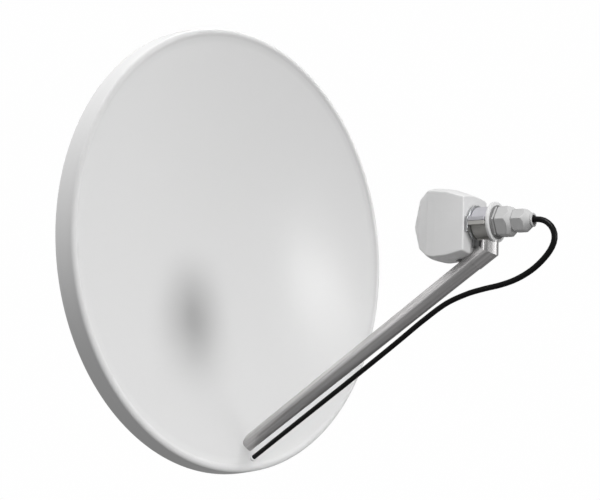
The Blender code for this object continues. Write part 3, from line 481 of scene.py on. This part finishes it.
def chain(name, rings, closed=False, smooth_angle=30.0, rounded_from=0.0, crisp_ring=0):
    """Join rings of equal length. A ring of one point is a pole, and open chains get end faces. With
    rounded_from, edges that turn by more degrees than that are marked for rounding, apart from those of the
    crisp ring."""
    bm = bmesh.new()
    loops = [[bm.verts.new(point * MM) for point in ring] for ring in rings]
    pairs = list(zip(loops, loops[1:]))
    if closed:
        pairs.append((loops[-1], loops[0]))
    for first, second in pairs:
        count = max(len(first), len(second))
        for i in range(count):
            j = (i + 1) % count
            if len(first) == 1:
                bm.faces.new((first[0], second[j], second[i]))
            elif len(second) == 1:
                bm.faces.new((first[i], first[j], second[0]))
            else:
                bm.faces.new((first[i], first[j], second[j], second[i]))
    if not closed:
        for end in (loops[0], loops[-1]):
            if len(end) > 2:
                bm.faces.new(end)
    bmesh.ops.recalc_face_normals(bm, faces=bm.faces)
    if bm.calc_volume(signed=True) < 0:
        bmesh.ops.reverse_faces(bm, faces=bm.faces)
    if rounded_from:
        weight = bm.edges.layers.float.new("bevel_weight_edge")
        crisp = set(loops[crisp_ring])
        for edge in bm.edges:
            turns = edge.calc_face_angle(0) > math.radians(rounded_from)
            edge[weight] = 1.0 if turns and not crisp.issuperset(edge.verts) else 0.0
    mesh = bpy.data.meshes.new(name)
    bm.to_mesh(mesh)
    bm.free()
    mesh.shade_smooth()
    mesh.set_sharp_from_angle(angle=math.radians(smooth_angle))
    return link(bpy.data.objects.new(name, mesh))


def dress(piece, slot, nodes, look=None):
    """Finish a new piece, let it ride on the part, and let it stand for its CAD nodes."""
    piece.data.materials.append(FINISHES[look or slot])
    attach(piece, BODY)
    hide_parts(*nodes)
    return piece


def soften(piece, width, segments=3, angle=25.0):
    """Round a piece's edges: those marked for it, or else those that turn by more than an angle."""
    bevel = piece.modifiers.new("soften", "BEVEL")
    bevel.width = width * MM
    bevel.segments = segments
    bevel.limit_method = "WEIGHT" if "bevel_weight_edge" in piece.data.attributes else "ANGLE"
    bevel.angle_limit = math.radians(angle)
    bevel.harden_normals = True


# Rings and curves. Every ring stands square to the part's middle plane, so one of its axes is ACROSS

def round_ring(centre, direction, radius, count):
    up = direction.normalized().cross(ACROSS)
    angles = [2 * math.pi * i / count for i in range(count)]
    return [centre + ACROSS * radius * math.cos(a) + up * radius * math.sin(a) for a in angles]


def hex_ring(centre, direction, across_flats, corner_limit, turn):
    """A hexagon whose corners are cut off by a circle, as on a turned nut."""
    up = direction.normalized().cross(ACROSS)
    points = []
    for i in range(HEXAGON_POINTS):
        a = 2 * math.pi * i / HEXAGON_POINTS + turn
        from_flat = (a - turn) % (math.pi / 3)
        from_flat = min(from_flat, math.pi / 3 - from_flat)
        radius = min(across_flats / 2 / math.cos(math.pi / 6 - from_flat), corner_limit)
        points.append(centre + ACROSS * radius * math.cos(a) + up * radius * math.sin(a))
    return points


def square_outline(side, corner, arc_steps=8):
    """A rounded square turned on its edge, as pairs of (across, along-normal) offsets."""
    half = side / 2 - corner
    points = []
    for quarter in range(4):
        start = quarter * math.pi / 2
        cx = half * (1 if quarter in (0, 3) else -1)
        cy = half * (1 if quarter in (0, 1) else -1)
        for step in range(arc_steps + 1):
            a = start + step * math.pi / 2 / arc_steps
            x = cx + corner * math.cos(a)
            y = cy + corner * math.sin(a)
            points.append(((x - y) * math.sqrt(0.5), (x + y) * math.sqrt(0.5)))
    return points


def section(outline, centre, normal):
    """An outline of (across, along-normal) pairs, set round a centre."""
    return [centre + ACROSS * u + normal * v for u, v in outline]


def slide_to_plane(points, direction, plane_point, plane_normal):
    """Move each point along a direction until it meets a plane, for a mitre."""
    moved = []
    for point in points:
        step = (plane_point - point).dot(plane_normal) / direction.dot(plane_normal)
        moved.append(point + direction * step)
    return moved


def arc(radius, start, end, steps):
    """Points of a circle from one angle to another, in degrees, as (x, y) pairs."""
    angles = [math.radians(start + (end - start) * i / steps) for i in range(steps + 1)]
    return [(radius * math.cos(a), radius * math.sin(a)) for a in angles]


def smooth_path(points, steps):
    """A smooth curve that passes through each of a list of vectors."""
    ends = [points[0] * 2 - points[1]] + list(points) + [points[-1] * 2 - points[-2]]
    path = []
    for i in range(1, len(ends) - 2):
        a, b, c, d = ends[i - 1], ends[i], ends[i + 1], ends[i + 2]
        for step in range(steps):
            t = step / steps
            path.append(0.5 * ((2 * b) + (c - a) * t + (2 * a - 5 * b + 4 * c - d) * t * t
                               + (3 * b - a - 3 * c + d) * t * t * t))
    return path + [ends[-2]]


def even_path(points, spacing):
    """A smooth curve through the points, with its own points a set distance apart."""
    fine = smooth_path(points, CABLE_CURVE_STEPS)
    lengths = [0.0]
    for a, b in zip(fine, fine[1:]):
        lengths.append(lengths[-1] + (b - a).length)
    count = round(lengths[-1] / spacing)
    path = []
    index = 0
    for k in range(count + 1):
        target = lengths[-1] * k / count
        while index < len(fine) - 2 and lengths[index + 1] < target:
            index += 1
        span = lengths[index + 1] - lengths[index]
        path.append(fine[index].lerp(fine[index + 1], (target - lengths[index]) / span))
    return path


# Cable and its entry

def cable_bends():
    return [Vector((0, RIM_Y + y, z)) for y, z in CABLE_BENDS]


def cable_entry_direction():
    return (CABLE_ENTRY - cable_bends()[-1]).normalized()


def make_cable():
    way = cable_entry_direction()
    path = even_path(list(CABLE_START) + cable_bends() + [CABLE_ENTRY - way], CABLE_SPACING)
    curve = bpy.data.curves.new("lead", "CURVE")
    curve.dimensions = "3D"
    curve.bevel_depth = CABLE_R * MM
    curve.bevel_resolution = CABLE_ROUNDNESS
    curve.use_fill_caps = True
    spline = curve.splines.new("POLY")
    spline.points.add(len(path) - 1)
    for target, point in zip(spline.points, path):
        target.co = (*(point * MM), 1.0)
    spline.use_smooth = True
    lead = dress(link(bpy.data.objects.new("lead", curve)), "jacket", ["cable"])


def make_cable_entry():
    way = cable_entry_direction()

    def ring(step, radius):
        return round_ring(CABLE_ENTRY + way * step, way, radius, ENTRY_POINTS)

    head, end = ENTRY_HEAD[0][0], ENTRY_HEAD[-1][0]
    rings = [ring(ENTRY_FRONT_BORE_END, CABLE_R + GAP), ring(head, CABLE_R + GAP)]
    rings += [ring(step, radius) for step, radius in ENTRY_HEAD]
    rings += [ring(end, ENTRY_BACK_BORE), ring(end / 2, ENTRY_BACK_BORE)]
    dress(chain("entry_bush", rings), "plastic", ["cable_entry"])


# Reflector

def bowl_y(reach, behind=0.0):
    """Depth of the bowl at a share of the way out to its lip, or of a surface that lies behind it."""
    return RIM_Y + LIP_DEPTH + BOWL_DEPTH * (1 - reach * reach) + behind


def oval_ring(half_width, half_height, y):
    angles = [2 * math.pi * i / RIM_SEGMENTS for i in range(RIM_SEGMENTS)]
    return [Vector((half_width * math.sin(a), y, half_height * math.cos(a))) for a in angles]


def rim_rings(pairs):
    """Rings through a smoothed profile of (inset, depth) pairs."""
    profile = smooth_path([Vector(pair) for pair in pairs], RIM_STEPS)
    return [oval_ring(DISH_WIDTH / 2 - p.x, DISH_HEIGHT / 2 - p.x, RIM_Y + p.y) for p in profile]


def bowl_rings(behind):
    half_width = DISH_WIDTH / 2 - LIP_INSET
    half_height = DISH_HEIGHT / 2 - LIP_INSET
    reaches = [(i / BOWL_RINGS) ** RING_CROWDING for i in range(1, BOWL_RINGS)]
    return [oval_ring(half_width * r, half_height * r, bowl_y(r, behind)) for r in reaches]


def make_reflector():
    rings = [[Vector((0, bowl_y(0), 0))]] + bowl_rings(0.0)
    rings += rim_rings(((LIP_INSET, LIP_DEPTH),) + FRONT_LIP + SKIRT + HEM + INSIDE + BACK_LIP)
    rings += list(reversed(bowl_rings(SHELL))) + [[Vector((0, bowl_y(0, SHELL), 0))]]
    dress(chain("reflector_shell", rings, smooth_angle=60), "paint", ["reflector"])


# Feed arm

def make_arm():
    along, normal = arm_axes()
    start = ARM_FOOT - along * ARM_BEHIND_DISH
    end = ELBOW - along * (SLEEVE_LENGTH - ARM_IN_SLEEVE)
    outer = square_outline(ARM_SIDE, ARM_CORNER)
    inner = square_outline(ARM_SIDE - 2 * ARM_WALL, ARM_CORNER - ARM_WALL)
    rings = [section(outer, start, normal), section(outer, end, normal)]
    rings += [section(inner, end, normal), section(inner, start, normal)]
    dress(chain("feed_arm", rings, closed=True), "tube", ["arm_tube"])


def make_elbow():
    """Mitred elbow: a sleeve over the arm's end, turning up into the short post under the clamp."""
    along, normal = arm_axes()
    up = feed_axes()[1]
    lip = square_outline(SLEEVE_SIDE, SLEEVE_CORNER)
    edge = square_outline(SLEEVE_SIDE - 2 * SLEEVE_CHAMFER, CHAMFER_CORNER)
    bore = square_outline(ARM_SIDE + 2 * GAP, ARM_CORNER + GAP)
    leg = ELBOW - along * SLEEVE_LENGTH
    seat = FEED_CENTRE - up * (CLAMP_R + CLAMP_PAD + GAP)
    fold = (along + up).normalized()
    mouth = section(lip, leg + along * SLEEVE_CHAMFER, normal)
    mitre = slide_to_plane(mouth, along, ELBOW, fold)
    rings = [section(bore, leg + along * (ARM_IN_SLEEVE + GAP), normal), section(bore, leg, normal),
             section(edge, leg, normal), mouth, mitre, slide_to_plane(mitre, up, seat, up)]
    elbow = dress(chain("feed_elbow", rings), "tube", ["arm_elbow"])
    elbow.data.materials.append(FINISHES["post"])
    for face in elbow.data.polygons:
        if (face.center / MM - ELBOW).dot(fold) > 0:
            face.material_index = 1


# Feed unit

def turned(name, stations, slot, nodes, bore, look=None):
    """A tube turned on the feed's axis, from stations and radii outside and one bore."""
    away = feed_axes()[0]
    through = [(stations[-1][0], bore), (stations[0][0], bore)]
    rings = [round_ring(feed_point(0, station, 0), away, radius, TURNED_POINTS)
             for station, radius in list(stations) + through]
    dress(chain(name, rings, closed=True, smooth_angle=40), slot, nodes, look)


def housing_ring(profile):
    """A section of the housing: flat sides that meet in a slight ridge, and a crown above and below."""
    station, half_width, top, bottom, crown_top, crown_low, inset = profile
    edge = half_width - inset
    middle = (top + bottom) / 2
    upper, lower = [], []
    for i in range(CROWN_STEPS + 1):
        u = 2 * i / CROWN_STEPS - 1
        rise = 1 - abs(u) ** CROWN_POWER
        upper.append((edge * u, top + crown_top * rise))
        lower.append((-edge * u, bottom - crown_low * rise))
    outline = [(-half_width, middle)] + upper + [(half_width, middle)] + lower
    return [feed_point(x, station, z) for x, z in outline]


def make_housing():
    """The cover and the body meet in a crisp seam. The neck, flange and gasket follow on the same axis."""
    cover = [housing_ring(profile) for profile in (COVER_NOSE, COVER_BROW, COVER_SHOULDER, COVER_SEAM)]
    cover = chain("feed_cover", cover, smooth_angle=12, rounded_from=14, crisp_ring=-1)
    soften(dress(cover, "plastic", ["radome_cover"]), HOUSING_ROUND, segments=4)
    body = [housing_ring(profile) for profile in (COVER_SEAM, HOUSING_MIDDLE, HOUSING_REAR)]
    body = chain("feed_body", body, smooth_angle=12, rounded_from=20, crisp_ring=0)
    soften(dress(body, "plastic", ["feed_housing"]), HOUSING_ROUND, segments=4)
    turned("neck", NECK, "plastic", ["feed_neck"], NECK_BORE)
    turned("flange", FLANGE, "plastic", ["neck_flange"], FLANGE_BORE)
    # The gasket is painted a dark grey as shade for the gap between the flange and the gland
    turned("gasket", GASKET, "plastic", ["flange_gasket"], FLANGE_BORE, "groove_shade")


def hexagon_piece(name, profile, flats, turn, bore, nodes):
    """A turned outline with a hexagon milled on it, in fine steps so that its chamfers curve."""
    away = feed_axes()[0]

    def ring(station, radius):
        return hex_ring(feed_point(0, station, 0), away, flats, radius, turn)

    rings = []
    for (a, ra), (b, rb) in zip(profile, profile[1:]):
        steps = max(1, round((b - a) / HEXAGON_STEP)) if ra != rb else 1
        for i in range(steps):
            share = i / steps
            rings.append(ring(a + (b - a) * share, ra + (rb - ra) * share))
    rings += [ring(*profile[-1]), ring(profile[-1][0], bore), ring(profile[0][0], bore)]
    piece = dress(chain(name, rings, closed=True, smooth_angle=24), "plastic", nodes, "gland")
    # Faces in the groove take the dark grey of painted shade, for the gap at the body's shoulder
    piece.data.materials.append(FINISHES["groove_shade"])
    for face in piece.data.polygons:
        offset = face.center / MM - FEED_CENTRE
        station = offset.dot(away)
        if GROOVE_FROM < station < GROOVE_TO and (offset - away * station).length < GROOVE_R:
            face.material_index = 1


def make_gland():
    hexagon_piece("gland_hexagon", GLAND_BODY, GLAND_BODY_FLATS, GLAND_BODY_TURN, GLAND_BODY_BORE,
                  ["gland_body"])
    hexagon_piece("gland_cap", GLAND_NUT, GLAND_NUT_FLATS, GLAND_NUT_TURN, GLAND_NUT_BORE, ["gland_nut"])
    turned("gland_rubber", GLAND_SEAL, "rubber", ["gland_seal"], CABLE_R + GAP)


def make_clamp():
    """Two half shells round the neck, with a seam at each side."""
    inner = NECK_R + GAP
    seam = GAP / 2

    def half(name, outline, nodes, look):
        rings = [[feed_point(x, station, z) for x, z in outline] for station in (CLAMP_FROM, CLAMP_TO)]
        soften(dress(chain(name, rings, smooth_angle=25), "clamp", nodes, look), CLAMP_ROUND)

    meet = math.degrees(math.asin(LUG_RISE / CLAMP_R))
    low = math.degrees(math.asin(seam / inner))
    upper = [(LUG_X, seam), (LUG_X, LUG_RISE)] + arc(CLAMP_R, meet, 180 - meet, ARC_STEPS)
    upper += [(-LUG_X, LUG_RISE), (-LUG_X, seam)] + arc(inner, 180 - low, low, ARC_STEPS)
    half("clamp_top", upper, ["clamp_upper"], "clamp")
    turn = math.degrees(math.acos(CLAMP_PAD_HALF / CLAMP_R))
    pad = -(CLAMP_R + CLAMP_PAD)
    lower = [(LUG_X, -seam), (LUG_X, -LUG_RISE)] + arc(CLAMP_R, -meet, -turn, PAD_ARC_STEPS)
    lower += [(CLAMP_PAD_HALF, pad), (-CLAMP_PAD_HALF, pad)]
    lower += arc(CLAMP_R, -180 + turn, -180 + meet, PAD_ARC_STEPS)
    lower += [(-LUG_X, -LUG_RISE), (-LUG_X, -seam)] + arc(inner, -180 + low, -low, ARC_STEPS)
    # The lower half takes the cast metal's darker copy, which is painted shade
    half("clamp_bottom", lower, ["clamp_lower"], "clamp_shaded")


def make_hanger():
    """Winged ring round the neck at the clamp's inner end, with a tail laid along the arm's top edge."""
    along, normal = arm_axes()
    near = CLAMP_FROM - GAP - HANGER_PLATE
    far = CLAMP_FROM - GAP
    ring, wing = HANGER_RING_R, HANGER_WING_X
    top = math.degrees(math.asin(HANGER_WING_TOP / ring))
    low = math.degrees(math.asin(HANGER_WING_LOW / ring))
    outline = [(wing, HANGER_WING_LOW), (wing, HANGER_WING_TOP)] + arc(ring, top, 180 - top, ARC_STEPS)
    outline += [(-wing, HANGER_WING_TOP), (-wing, HANGER_WING_LOW)]
    outline += arc(ring, -180 - low, low, HANGER_LOW_STEPS)
    plate = chain("hanger", [[feed_point(x, station, z) for x, z in outline] for station in (near, far)])
    soften(dress(plate, "steel", ["hanger_plate"]), HANGER_ROUND)

    ridge = (ARM_SIDE / 2 - ARM_CORNER) * math.sqrt(2) + ARM_CORNER + 2 * GAP
    clear = ELBOW + normal * (ridge + TAIL_OVER_ARM)
    seat = ELBOW + normal * ridge
    root = feed_point(0, (near + far) / 2, TAIL_INSIDE_RING - HANGER_RING_R)
    hip = clear - along * ((clear - root).dot(along) + TAIL_TO_HIP)
    path = [root, hip, clear - along * TAIL_DROP_FROM, seat - along * TAIL_DROP_TO, seat - along * TAIL_END]
    half = TAIL_HALF_WIDTH
    strip = ((-half, 0), (half, 0), (half, TAIL_THICK), (-half, TAIL_THICK))
    tail = []
    for index, point in enumerate(path):
        forward = path[min(index + 1, len(path) - 1)] - path[max(index - 1, 0)]
        lift = Vector((0, -forward.z, forward.y)).normalized()
        tail.append(section(strip, point, lift))
    # The tail takes the zinc steel's darker copy, which is painted shade
    soften(dress(chain("hanger_tail", tail), "steel", ["hanger_plate"], "strap_shaded"), HANGER_ROUND)


def dress_frame():
    """Finish the CAD nodes that stay, with their edges rounded."""
    slots = {row["node"]: row["material_slot"] for row in frame["record"]["subparts"]}
    for name, node in frame["nodes"].items():
        node.data.materials.clear()
        node.data.materials.append(FINISHES[slots[name]])
        weld = node.modifiers.new("weld", "WELD")
        weld.merge_threshold = WELD_DISTANCE * MM
        soften(node, FRAME_ROUND, segments=2, angle=35)


FINISHES = make_finishes()
make_camera()
make_cable()
make_cable_entry()
make_reflector()
make_arm()
make_elbow()
make_housing()
make_gland()
make_clamp()
make_hanger()
dress_frame()
make_world()
make_stage()
make_lights()
bpy.context.scene.view_settings.view_transform = "Standard"
